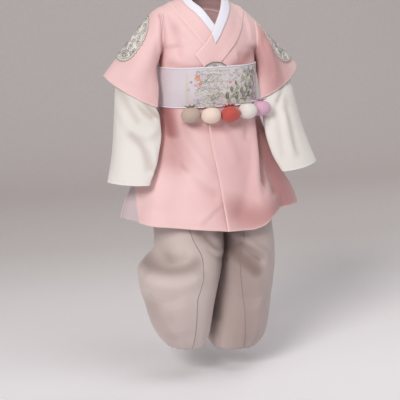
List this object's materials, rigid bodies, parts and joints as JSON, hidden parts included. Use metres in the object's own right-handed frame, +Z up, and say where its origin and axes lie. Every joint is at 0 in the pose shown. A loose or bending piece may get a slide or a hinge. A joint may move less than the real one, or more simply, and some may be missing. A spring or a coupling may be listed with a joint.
{
  "type": "child's hanbok set",
  "caption": "Child's hanbok set: lapped half-sleeved coat with white long sleeves, broad belt hung with stuffed balls, and full trousers gathered at the ankle.",
  "frame": {"origin": "between the shoulders at the base of the neck opening, where the wearer holds the set up", "axes": "+Z up, the front of the coat faces -Y, the wearer's left is +X"},
  "size_m": [0.4653, 0.2623, 0.7843],
  "materials": {
    "coat_pink": "soft satin weave",
    "strip_white": "stiff smooth white cloth",
    "piping_pale": "pale satin binding",
    "sleeve_white": "matt white cloth",
    "embroidery_silver": "silver-grey machine embroidery",
    "belt_silver": "silver-lilac satin with embroidery",
    "taupe": "satin",
    "cream": "satin",
    "coral": "satin",
    "white": "satin",
    "lilac": "satin",
    "trouser_taupe": "matt padded cotton"
  },
  "bodies": {
    "root": {"coat_front_right": "coat_pink", "coat_front_left": "coat_pink", "coat_back_right": "coat_pink", "coat_back_left": "coat_pink", "coat_sleeve_right": "coat_pink", "coat_sleeve_left": "coat_pink", "collar_band": "coat_pink", "dongjeong": "strip_white", "front_edge_piping": "piping_pale", "white_sleeve_right_front": "sleeve_white", "white_sleeve_right_back": "sleeve_white", "white_sleeve_left_front": "sleeve_white", "white_sleeve_left_back": "sleeve_white", "roundel_right": "embroidery_silver", "roundel_left": "embroidery_silver", "roundel_chest": "embroidery_silver", "belt": "belt_silver", "ball_1": "taupe", "ball_2": "cream", "ball_3": "coral", "ball_4": "white", "ball_5": "lilac", "waistband": "trouser_taupe", "leg_right": "trouser_taupe", "leg_left": "trouser_taupe"}
  },
  "joints": []
}
